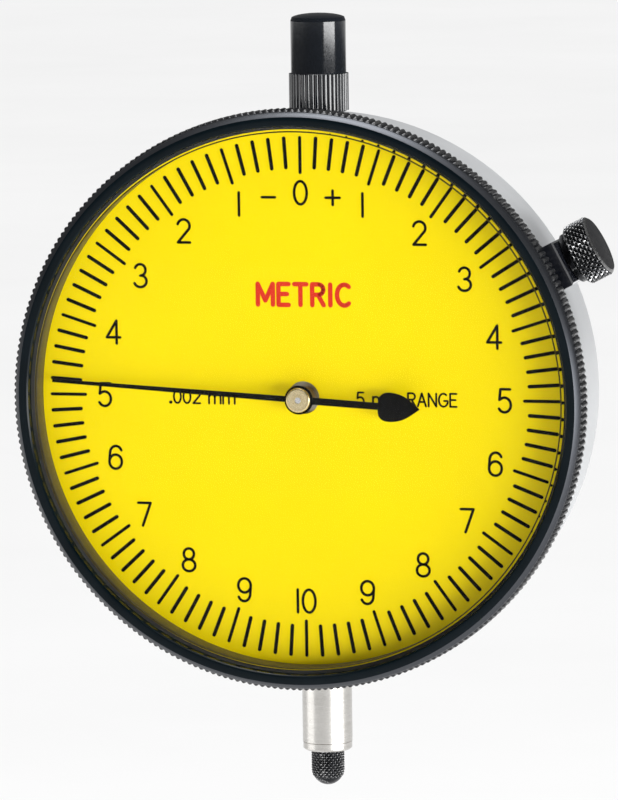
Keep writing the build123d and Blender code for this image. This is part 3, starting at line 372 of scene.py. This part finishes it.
def bare_edges(material, out, offset, middle, reach):
    """A painted highlight line in bright metal colour: out . point - offset within reach of middle."""
    tree = material.node_tree
    bsdf = tree.nodes["Principled BSDF"]
    along = add(tree, "ShaderNodeVectorMath", operation="DOT_PRODUCT")
    tree.links.new(object_point(tree), along.inputs[0])
    along.inputs[1].default_value = out
    distance = math_node(tree, "SUBTRACT", along.outputs["Value"], offset)
    edge_colour_mask = math_node(tree, "COMPARE", distance, middle, reach)
    mix = add(tree, "ShaderNodeMix", data_type="RGBA")
    tree.links.new(edge_colour_mask, mix.inputs["Factor"])
    tree.links.new(bsdf.inputs["Base Color"].links[0].from_socket, mix.inputs["A"])
    mix.inputs["B"].default_value = (*HIGHLIGHT_METAL, 1)
    tree.links.new(mix.outputs["Result"], bsdf.inputs["Base Color"])
    tree.links.new(edge_colour_mask, bsdf.inputs["Metallic"])


screw_joint = next(j for j in frame["joints"] if j["name"] == "clamp_screw_turn")
screw_out = -Vector(screw_joint["axis"]).normalized()
CLAMP_OUTER = 47.4 * MM                  # outer face of the clamp block, from the dial's axis
CLAMP_CHAMFER = 0.3 * MM
# Painted highlight: a bright metal line along the clamp block's outer chamfer.
bare_edges(clamp_black, screw_out, centre.z * screw_out.z, CLAMP_OUTER - CLAMP_CHAMFER / 2,
           CLAMP_CHAMFER * HIGHLIGHT_HALF)

SLOT_MATERIALS = {
    "bezel_black": gloss_black,
    "case_silver": case_silver,
    "turned_steel": stem_steel,
    "black_oxide": clamp_black,
    "black_plastic": cap_black,
    "crystal_clear": crystal_clear,
    "dial_yellow": dial_yellow,
    "hand_black": hand_black,
    "brass": movement_brass,
    "movement_nickel": nickel,
    "screw_steel": polished_steel,
    "jewel_red": ruby,
    "gasket_black": soft_black,
    "spring_steel": blued_steel,
}
for entry in frame["record"]["subparts"]:
    node_object = nodes[entry["node"]]
    node_object.data.materials.clear()
    node_object.data.materials.append(SLOT_MATERIALS[entry["material_slot"]])
nodes["hub_button"].data.materials[0] = brass

# ---------------------------------------------------------------- bezel ring
KNURL_TEETH = 280
STEPS_PER_TOOTH = 8
LOBE_SHAPE = 0.8             # under 1 makes the lobes fuller and the valleys sharper
FRONT_FADE, REAR_FADE = 0.3 * MM, 0.25 * MM
GASKET = 0.3 * MM
MOUTH_CHAMFER = 0.25 * MM
FRONT_OVERLAP = 0.05 * MM    # the knurl runs this far into the chamfer in front of it
knurl_tip = (bezel_high.x - bezel_low.x) / 2
knurl_depth = 0.38 * MM
knurl_root = knurl_tip - knurl_depth
bezel_front = -bezel_low.y
bezel_place = facing_place((0, 0, centre.z))
ledge = -crystal_high.y - GASKET       # where the gasket under the crystal sits
crystal_radius = (crystal_high.x - crystal_low.x) / 2
wall_radius = crystal_radius - 0.75 * MM
knurl_front = bezel_front - 1.2 * MM
knurl_rear = bezel_front - 5.3 * MM
skirt_rear = -bezel_high.y
skirt_radius = knurl_tip - 1.3 * MM
skirt_bore = knurl_tip - 2.9 * MM
GLOSS, SATIN, KNURL, WALL = 0, 1, 2, 3


def knurl_relief(angle, radius, height):
    """Rounded lobes with sharp valleys between them, fading out over the chamfered ends."""
    knurl_end = knurl_front + FRONT_OVERLAP
    if radius < knurl_root - SURFACE_SLACK or not knurl_rear < height < knurl_end:
        return 0.0
    phase = angle / TAU * KNURL_TEETH
    lobe = abs(math.cos(math.pi * phase)) ** LOBE_SHAPE
    end_fade = min(1.0, (knurl_end - height) / FRONT_FADE, (height - knurl_rear) / REAR_FADE)
    return knurl_depth * lobe * end_fade


KNURL_ROW_DEPTHS = (0.0, 0.12, 0.3, 1.2, 2.0, 2.9, 3.7, 3.9, 4.05)      # mm behind its front
knurl_rows = [knurl_front - depth * MM for depth in KNURL_ROW_DEPTHS]
bezel_profile = soften([
    (wall_radius, -dial_low.y, WALL),
    (wall_radius, ledge, WALL),
    (crystal_radius, ledge, GLOSS),
    (crystal_radius, bezel_front - MOUTH_CHAMFER, GLOSS),
    (crystal_radius + MOUTH_CHAMFER, bezel_front, GLOSS),
    (knurl_tip - 1.15 * MM, bezel_front, SATIN),
    (knurl_root - 0.06 * MM, knurl_front + 0.35 * MM, SATIN),
], 0.05 * MM) + [
    (knurl_root - 0.02 * MM, knurl_front + 0.1 * MM, KNURL),
    *[(knurl_root, height, KNURL) for height in knurl_rows],
    (knurl_root, knurl_rear, GLOSS),
    (knurl_root - 0.1 * MM, knurl_rear - 0.3 * MM, GLOSS),
    (skirt_radius, knurl_rear - 0.3 * MM, GLOSS),
    (skirt_radius, skirt_rear, GLOSS),
    (skirt_bore, skirt_rear, GLOSS),
    (skirt_bore, -dial_low.y, GLOSS),
]
bezel = lathe("bezel", bezel_profile, bezel_place, KNURL_TEETH * STEPS_PER_TOOTH,
              [gloss_black, satin_black, knurl_black, wall_grey], knurl_relief, crease=40)
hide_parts("bezel_ring")
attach(bezel, "bezel")

# ---------------------------------------------------------------- crystal
crystal_front = -crystal_low.y
crystal_rear = -crystal_high.y
crystal_bevel = 0.85 * MM
RIM, FACE, EDGE = 0, 1, 2
CRYSTAL_SEGMENTS = 360
CRYSTAL_ROUND = 0.12 * MM
POINTS_PER_CORNER = 3        # soften() makes three of each corner
crystal_corners = soften([
    (0, crystal_rear, FACE),
    (crystal_radius, crystal_rear, RIM),
    (crystal_radius, crystal_front - crystal_bevel * 0.6, RIM),
    (crystal_radius - crystal_bevel, crystal_front, FACE),
    (0, crystal_front, FACE),
], CRYSTAL_ROUND)
front_edge = len(crystal_corners) - 2 * POINTS_PER_CORNER      # the bevel's fine inner edge, painted dark gold for the dial's light seen in it
for corner in (front_edge, front_edge + 1):
    crystal_corners[corner] = (*crystal_corners[corner][:2], EDGE)
crystal_middle = crystal_corners[POINTS_PER_CORNER:-POINTS_PER_CORNER]
crystal_profile = [(0, crystal_rear, FACE)] + crystal_middle + [(0, crystal_front, FACE)]
crystal = lathe("crystal_lens", crystal_profile, bezel_place, CRYSTAL_SEGMENTS,
                [crystal_clear, crystal_face, crystal_edge], crease=25)
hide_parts("crystal")
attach(crystal, "bezel")

# ---------------------------------------------------------------- dial print
INK_HEIGHT = 0.035 * MM
GRADUATIONS = 100
MARKS_PER_NUMERAL = 5
INK_STAGGER = 0.08
tick_outer = 41.4 * MM
minor_inner = 36.2 * MM
major_inner = 35.4 * MM
minor_width = 0.58 * MM
major_width = 0.50 * MM
numeral_height = 3.65 * MM
numeral_stroke = 0.21 * MM      # half the width of a stroke


def rounded_bar(start, end, half_width, steps=6):
    """Corners of a flat bar with round ends, in dial coordinates."""
    along = (end - start).normalized()
    side = Vector((-along.y, along.x))
    corners = []
    for point, turn in ((end, 0.0), (start, math.pi)):
        for step in range(steps + 1):
            angle = turn - math.pi / 2 + math.pi * step / steps
            corners.append(point + (along * math.cos(angle) + side * math.sin(angle)) * half_width)
    return corners


def print_shapes(name, shapes, material):
    """Flat closed shapes, given by their corners, printed on the dial as thin solids."""
    place = facing_place(centre)
    vertices, faces = [], []
    for index, corners in enumerate(shapes):
        first, count = len(vertices), len(corners)
        top = INK_HEIGHT * (1 + INK_STAGGER * (index % 3))      # strokes that cross stay apart
        for height in (-INK_HEIGHT / 4, top):
            vertices += [place @ Vector((c.x, c.y, height)) for c in corners]
        faces.append([first + count + i for i in range(count)])
        faces.append([first + count - 1 - i for i in range(count)])
        for i in range(count):
            j = (i + 1) % count
            faces.append([first + i, first + j, first + count + j, first + count + i])
    obj = new_object(name, vertices, faces, [material])
    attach(obj, "bezel")
    return obj


tick_shapes = []
for mark in range(GRADUATIONS):
    angle = TAU * mark / GRADUATIONS
    out = Vector((math.sin(angle), math.cos(angle)))
    long_mark = mark % MARKS_PER_NUMERAL == 0
    half = (major_width if long_mark else minor_width) / 2
    inner = major_inner if long_mark else minor_inner
    tick_shapes.append(rounded_bar(out * (inner + half), out * (tick_outer - half), half))
print_shapes("dial_graduations", tick_shapes, ink_black)


def arc(cx, cy, rx, ry, start, end, steps=14):
    """Points of an elliptic arc, in degrees counter-clockwise from the right."""
    return [
        (cx + rx * math.cos(math.radians(start + (end - start) * i / steps)),
         cy + ry * math.sin(math.radians(start + (end - start) * i / steps)))
        for i in range(steps + 1)
    ]


# Strokes of each character in a box one unit high; a character is (width, strokes).
GLYPHS = {
    "0": (0.56, [arc(0.28, 0.5, 0.28, 0.5, 90, 450, 28)]),
    "1": (0.10, [[(0.05, 0), (0.05, 1)]]),
    "2": (0.56, [arc(0.28, 0.72, 0.27, 0.28, 165, -28) + [(0.02, 0), (0.56, 0)]]),
    "3": (0.56, [arc(0.27, 0.75, 0.24, 0.25, 160, -90) + arc(0.27, 0.26, 0.28, 0.26, 90, -160)[1:]]),
    "4": (0.60, [[(0.44, 0), (0.44, 1), (0.0, 0.27), (0.60, 0.27)]]),
    "5": (0.56, [[(0.52, 1), (0.10, 1), (0.05, 0.54)] + arc(0.27, 0.32, 0.28, 0.32, 128, -150)]),
    "6": (0.56, [arc(0.30, 0.68, 0.27, 0.32, 25, 175) + arc(0.28, 0.31, 0.28, 0.31, 170, 530, 26)]),
    "7": (0.56, [[(0.0, 1), (0.56, 1), (0.20, 0)]]),
    "8": (0.56, [arc(0.28, 0.76, 0.23, 0.24, -90, 270, 22), arc(0.28, 0.26, 0.28, 0.26, 90, 450, 24)]),
    "9": (0.56, [arc(0.26, 0.32, 0.27, 0.32, 205, 355) + arc(0.28, 0.69, 0.28, 0.31, -10, 350, 26)]),
    "-": (0.58, [[(0.0, 0.5), (0.58, 0.5)]]),
    "+": (0.62, [[(0.0, 0.5), (0.62, 0.5)], [(0.31, 0.19), (0.31, 0.81)]]),
    ".": (0.10, [[(0, 0.01), (0.10, 0.01), (0.10, 0.10), (0, 0.10), (0, 0.01)]]),
    "A": (0.64, [[(0.0, 0), (0.32, 1), (0.64, 0)], [(0.12, 0.34), (0.52, 0.34)]]),
    "C": (0.62, [arc(0.36, 0.5, 0.36, 0.5, 52, 308, 22)]),
    "E": (0.50, [[(0.50, 1), (0, 1), (0, 0), (0.50, 0)], [(0, 0.52), (0.42, 0.52)]]),
    "G": (0.68, [arc(0.36, 0.5, 0.36, 0.5, 52, 338, 22) + [(0.69, 0.44), (0.42, 0.44)]]),
    "I": (0.10, [[(0.05, 0), (0.05, 1)]]),
    "M": (0.74, [[(0, 0), (0, 1), (0.37, 0.2), (0.74, 1), (0.74, 0)]]),
    "N": (0.60, [[(0, 0), (0, 1), (0.60, 0), (0.60, 1)]]),
    "R": (0.56, [[(0, 0), (0, 1), (0.30, 1)] + arc(0.30, 0.75, 0.25, 0.25, 90, -90)[1:] + [(0, 0.5)],
                 [(0.28, 0.5), (0.56, 0)]]),
    "T": (0.60, [[(0, 1), (0.60, 1)], [(0.30, 1), (0.30, 0)]]),
    "m": (0.92, [[(0, 0), (0, 0.68)], arc(0.23, 0.45, 0.23, 0.23, 180, 0) + [(0.46, 0)],
                 arc(0.69, 0.45, 0.23, 0.23, 180, 0) + [(0.92, 0)]]),
    " ": (0.30, []),
}
LETTER_SPACE = 0.06       # clear space between letters, besides the stroke


def lettering(name, words, material):
    """Prints (text, x, y, height, half stroke) words on the dial, each centred on its place."""
    shapes = []
    for text, x, y, height, half_stroke in words:
        gap = LETTER_SPACE + 2 * half_stroke / height
        total = sum(GLYPHS[c][0] for c in text) + gap * (len(text) - 1)
        pen = -total / 2
        for c in text:
            width, strokes = GLYPHS[c]
            for stroke in strokes:
                points = [Vector((x + (pen + px) * height, y + (py - 0.5) * height)) for px, py in stroke]
                for start, end in zip(points, points[1:]):
                    shapes.append(rounded_bar(start, end, half_stroke, 4))
            pen += width + gap
    return print_shapes(name, shapes, material)


numeral_radius = 32.45 * MM
one_across, one_up = 10.0 * MM, 30.6 * MM
sign_across, sign_up = 5.2 * MM, 31.7 * MM
numerals = []
for step in range(-9, 11):
    angle = TAU * step * MARKS_PER_NUMERAL / GRADUATIONS
    value = str(abs(step))
    if abs(step) <= 1 and step != 0:
        continue
    numerals.append((value, numeral_radius * math.sin(angle), numeral_radius * math.cos(angle),
                     numeral_height, numeral_stroke))
for side in (-1, 1):
    sign = "-" if side < 0 else "+"
    numerals.append(("1", side * one_across, one_up, numeral_height, numeral_stroke))
    numerals.append((sign, side * sign_across, sign_up, numeral_height, numeral_stroke))
lettering("dial_numerals", numerals, ink_black)
small_height = 2.05 * MM
small_stroke = 0.15 * MM
lettering("dial_units", [
    (".002 mm", -16.45 * MM, -0.12 * MM, small_height, small_stroke),
    (".5 mm RANGE", 16.4 * MM, -0.05 * MM, small_height, small_stroke),
], ink_black)
lettering("dial_red_word", [("METRIC", 0.3 * MM, 16.35 * MM, 3.3 * MM, 0.36 * MM)], ink_red)

# ---------------------------------------------------------------- dust cap
CAP_FLUTES = 40
cap_axis = Vector(((cap_low.x + cap_high.x) / 2, (cap_low.y + cap_high.y) / 2, 0))
cap_place = Matrix.Translation(cap_axis)
cap_tip = (cap_high.x - cap_low.x) / 2
flute_depth = 0.28 * MM
cap_body = cap_tip - 0.35 * MM
knurl_top = cap_low.z + 6.1 * MM
cap_shoulder = cap_high.z - 1.2 * MM
cap_root = cap_tip - flute_depth
cap_bore = cap_body - 1.1 * MM
cap_bore_top = cap_high.z - 3.2 * MM
DOME_DEGREES = (18, 30, 42, 54, 66, 78)
DOME_BASE = 0.25             # share of the dome's height below its first point
STEPS_PER_FLUTE = 12
FLUTE_FULLNESS, FLUTE_SHAPE = 1.7, 0.6


def cap_relief(angle, radius, height):
    if radius < cap_root - SURFACE_SLACK or height > knurl_top:
        return 0.0
    phase = angle / TAU * CAP_FLUTES
    return flute_depth * min(1.0, FLUTE_FULLNESS * wave(phase)) ** FLUTE_SHAPE


dome = []
for degrees in DOME_DEGREES:
    a = math.radians(degrees)
    rise = DOME_BASE + (1 - DOME_BASE) * math.sin(a)
    dome.append((cap_body * math.cos(a), cap_shoulder + (cap_high.z - cap_shoulder) * rise, 0))
cap_profile = soften([
    (cap_bore, cap_low.z, 0),
    (cap_root - 0.15 * MM, cap_low.z, 0),
    (cap_root, cap_low.z + 0.12 * MM, 0),
    (cap_root, knurl_top - 0.12 * MM, 0),
    (cap_root, knurl_top - 0.02 * MM, 0),
    (cap_body, knurl_top + 0.05 * MM, 0),
    (cap_body, cap_shoulder, 0),
], 0.04 * MM) + dome + [
    (0, cap_high.z, 0),
    (0, cap_bore_top, 0),
    (cap_bore, cap_bore_top, 0),
]
dust_cap = lathe("dust_cap_moulded", cap_profile, cap_place, CAP_FLUTES * STEPS_PER_FLUTE,
                 [cap_black], cap_relief)
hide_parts("dust_cap")
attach(dust_cap, "dust_cap")

# ---------------------------------------------------------------- diamond knurls
PEAK_CUT = 0.85              # the pyramids' tips are flattened above this share
FADE_START = 0.2             # share of the relief left at the knurl's ends


def diamond_relief(around, pitch, depth, low, high, fade):
    """Crossed helical cuts that leave small pyramids between the heights low and high."""
    def relief(angle, radius, height):
        if not low <= height <= high:
            return 0.0
        turn = angle / TAU * around
        rise = height / pitch / 2
        peak = min(wave(turn + rise), wave(turn - rise))
        end_fade = min(1.0, (height - low) / fade + FADE_START, (high - height) / fade + FADE_START)
        return depth * (2 * min(peak, PEAK_CUT) - 1) * 0.5 * end_fade
    return relief


def rows(low, high, count):
    return [low + (high - low) * i / count for i in range(count + 1)]


# contact point: knurled barrel with a smooth half-round end
CONTACT_CUTS = 22
CONTACT_PITCH, CONTACT_DEPTH = 0.40 * MM, 0.34 * MM
CONTACT_FADE = 0.15 * MM
CONTACT_ROWS = 56
CONTACT_STEPS_PER_CUT = 16
contact_chamfer = 0.25 * MM
contact_stud = 1.4 * MM
contact_radius = (contact_high.x - contact_low.x) / 2
contact_axis = Vector(((contact_low.x + contact_high.x) / 2, (contact_low.y + contact_high.y) / 2, 0))
ball_centre = contact_low.z + contact_radius
barrel_top = contact_low.z + 6.1 * MM
grip_low = ball_centre - 0.45 * contact_radius
contact_relief = diamond_relief(CONTACT_CUTS, CONTACT_PITCH, CONTACT_DEPTH, grip_low,
                                barrel_top - CONTACT_FADE, CONTACT_FADE)
ball = [(contact_radius * math.cos(a), ball_centre + contact_radius * math.sin(a), 0)
        for a in [math.radians(d) for d in range(-86, 0, 2)]]
contact_profile = [(0, contact_low.z, 0)] + ball + [
    (contact_radius, h, 0) for h in rows(ball_centre, barrel_top - 0.16 * MM, CONTACT_ROWS)
] + [
    (contact_radius - contact_chamfer, barrel_top, 0),
    (contact_stud, barrel_top, 0),
    (contact_stud, contact_high.z, 0),
    (0, contact_high.z, 0),
]
contact = lathe("contact_point_knurled", contact_profile, Matrix.Translation(contact_axis),
                CONTACT_CUTS * CONTACT_STEPS_PER_CUT, [black_oxide], contact_relief, crease=60)
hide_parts("contact_point")
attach(contact, "spindle")

# clamp screw: plain shank and collar, diamond-knurled thumb head with a flat grey end
screw_origin = Vector(screw_joint["pos_m"])
screw_place = Matrix.Translation(screw_origin) @ screw_out.to_track_quat("Z", "Y").to_matrix().to_4x4()
HEAD, END = 0, 1
KNOB_CUTS = 28
KNOB_PITCH, KNOB_DEPTH, KNOB_FADE = 0.50 * MM, 0.46 * MM, 0.12 * MM
KNOB_ROWS = 48
KNOB_STEPS_PER_CUT = 14
shank_radius, shank_start = 1.5 * MM, 41.0 * MM
collar_radius, collar_start = 4.1 * MM, CLAMP_OUTER + 0.1 * MM
collar_chamfer = 0.15 * MM
head_radius = 4.85 * MM
head_start, head_end = 48.5 * MM, 52.7 * MM
head_chamfer = 0.35 * MM
head_relief = diamond_relief(KNOB_CUTS, KNOB_PITCH, KNOB_DEPTH, head_start + head_chamfer,
                             head_end - head_chamfer, KNOB_FADE)
screw_profile = [
    (0, shank_start, HEAD),
    (shank_radius, shank_start, HEAD),
    (shank_radius, collar_start, HEAD),
    (collar_radius - collar_chamfer, collar_start, HEAD),
    (collar_radius, collar_start + collar_chamfer, HEAD),
    (collar_radius, head_start, HEAD),
    (head_radius - head_chamfer, head_start, HEAD),
    *[(head_radius, h, HEAD) for h in rows(head_start + head_chamfer, head_end - head_chamfer, KNOB_ROWS)],
    (head_radius - head_chamfer, head_end - 0.05 * MM, HEAD),
    (head_radius - head_chamfer - 0.08 * MM, head_end, END),
    (0, head_end, END),
]
clamp_knob = lathe("clamp_thumb_screw", screw_profile, screw_place, KNOB_CUTS * KNOB_STEPS_PER_CUT,
                   [black_oxide, end_grey], head_relief, crease=60)
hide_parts("clamp_screw")
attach(clamp_knob, "clamp_screw")

# ---------------------------------------------------------------- camera
VIEW_AZIMUTH = math.radians(13.7)
VIEW_ELEVATION = math.radians(7.0)
VIEW_ROLL = math.radians(-0.8)
VIEW_DISTANCE = 1.009
VIEW_RIGHT = 0.9 * MM
VIEW_UP = -0.36 * MM
SENSOR = 36.0
LENS = 287.8
CLIP_START, CLIP_END = 0.05, 50

back = Vector((math.sin(VIEW_AZIMUTH) * math.cos(VIEW_ELEVATION),
               -math.cos(VIEW_AZIMUTH) * math.cos(VIEW_ELEVATION),
               math.sin(VIEW_ELEVATION)))
right = Vector((0, 0, 1)).cross(back).normalized()
up = back.cross(right)
rolled_right = math.cos(VIEW_ROLL) * right + math.sin(VIEW_ROLL) * up
rolled_up = -math.sin(VIEW_ROLL) * right + math.cos(VIEW_ROLL) * up
camera_data = bpy.data.cameras.new("camera")
camera_data.sensor_width = SENSOR
camera_data.lens = LENS
camera_data.clip_start = CLIP_START
camera_data.clip_end = CLIP_END
camera = bpy.data.objects.new("camera", camera_data)
bpy.context.scene.collection.objects.link(camera)
turn = Matrix((rolled_right, rolled_up, back)).transposed().to_4x4()
eye = centre + back * VIEW_DISTANCE + rolled_right * VIEW_RIGHT + rolled_up * VIEW_UP
camera.matrix_world = Matrix.Translation(eye) @ turn
bpy.context.scene.camera = camera

# ---------------------------------------------------------------- studio
SUN_STRENGTH = 2.85           # falls almost straight down, so that it whitens only the floor
SUN_SOFTNESS = math.radians(30)
SUN_TILT = math.radians(-6)
WORLD_STRENGTH = 0.12
SOFTBOXES = (                 # name, azimuth, elevation, distance, width, height, power
    ("softbox_right", 62, -4, 1.2, 1.10, 0.30, 13.5),
    ("softbox_left", -72, -6, 1.2, 0.90, 0.22, 1.5),
    ("softbox_top", 0, 78, 1.1, 1.0, 0.9, 4),
)


def area_light(name, azimuth, elevation, distance, width, height, power):
    """A soft box that looks at the dial's centre. Azimuth 0 stands in front of the dial."""
    a, e = math.radians(azimuth), math.radians(elevation)
    away = Vector((math.sin(a) * math.cos(e), -math.cos(a) * math.cos(e), math.sin(e)))
    data = bpy.data.lights.new(name, "AREA")
    data.shape = "RECTANGLE"
    data.size, data.size_y = width, height
    data.energy = power
    lamp = bpy.data.objects.new(name, data)
    lamp.location = centre + away * distance
    lamp.rotation_mode = "QUATERNION"
    lamp.rotation_quaternion = away.to_track_quat("Z", "Y")
    bpy.context.scene.collection.objects.link(lamp)


for softbox in SOFTBOXES:
    area_light(*softbox)
sun_data = bpy.data.lights.new("room_light", "SUN")
sun_data.energy = SUN_STRENGTH
sun_data.angle = SUN_SOFTNESS
sun = bpy.data.objects.new("room_light", sun_data)
sun.rotation_euler = (SUN_TILT, 0, 0)
bpy.context.scene.collection.objects.link(sun)

world = bpy.data.worlds.new("studio")
world.use_nodes = True
world.node_tree.nodes["Background"].inputs["Color"].default_value = (1, 1, 1, 1)
world.node_tree.nodes["Background"].inputs["Strength"].default_value = WORLD_STRENGTH
bpy.context.scene.world = world
bpy.context.scene.view_settings.view_transform = "Standard"

FLOOR_DROP = 0.25
floor_z = contact_low.z - FLOOR_DROP
HALF_FLOOR = 9.0
floor_material = finish_material("pale_floor", (0.90, 0.90, 0.90), (0.93, 0.93, 0.93), (0.8, 0.9), scale=3)
floor_corners = [(x * HALF_FLOOR, y * HALF_FLOOR, floor_z) for x, y in ((-1, -1), (1, -1), (1, 1), (-1, 1))]
floor = new_object("floor", floor_corners, [(0, 1, 2, 3)], [floor_material])
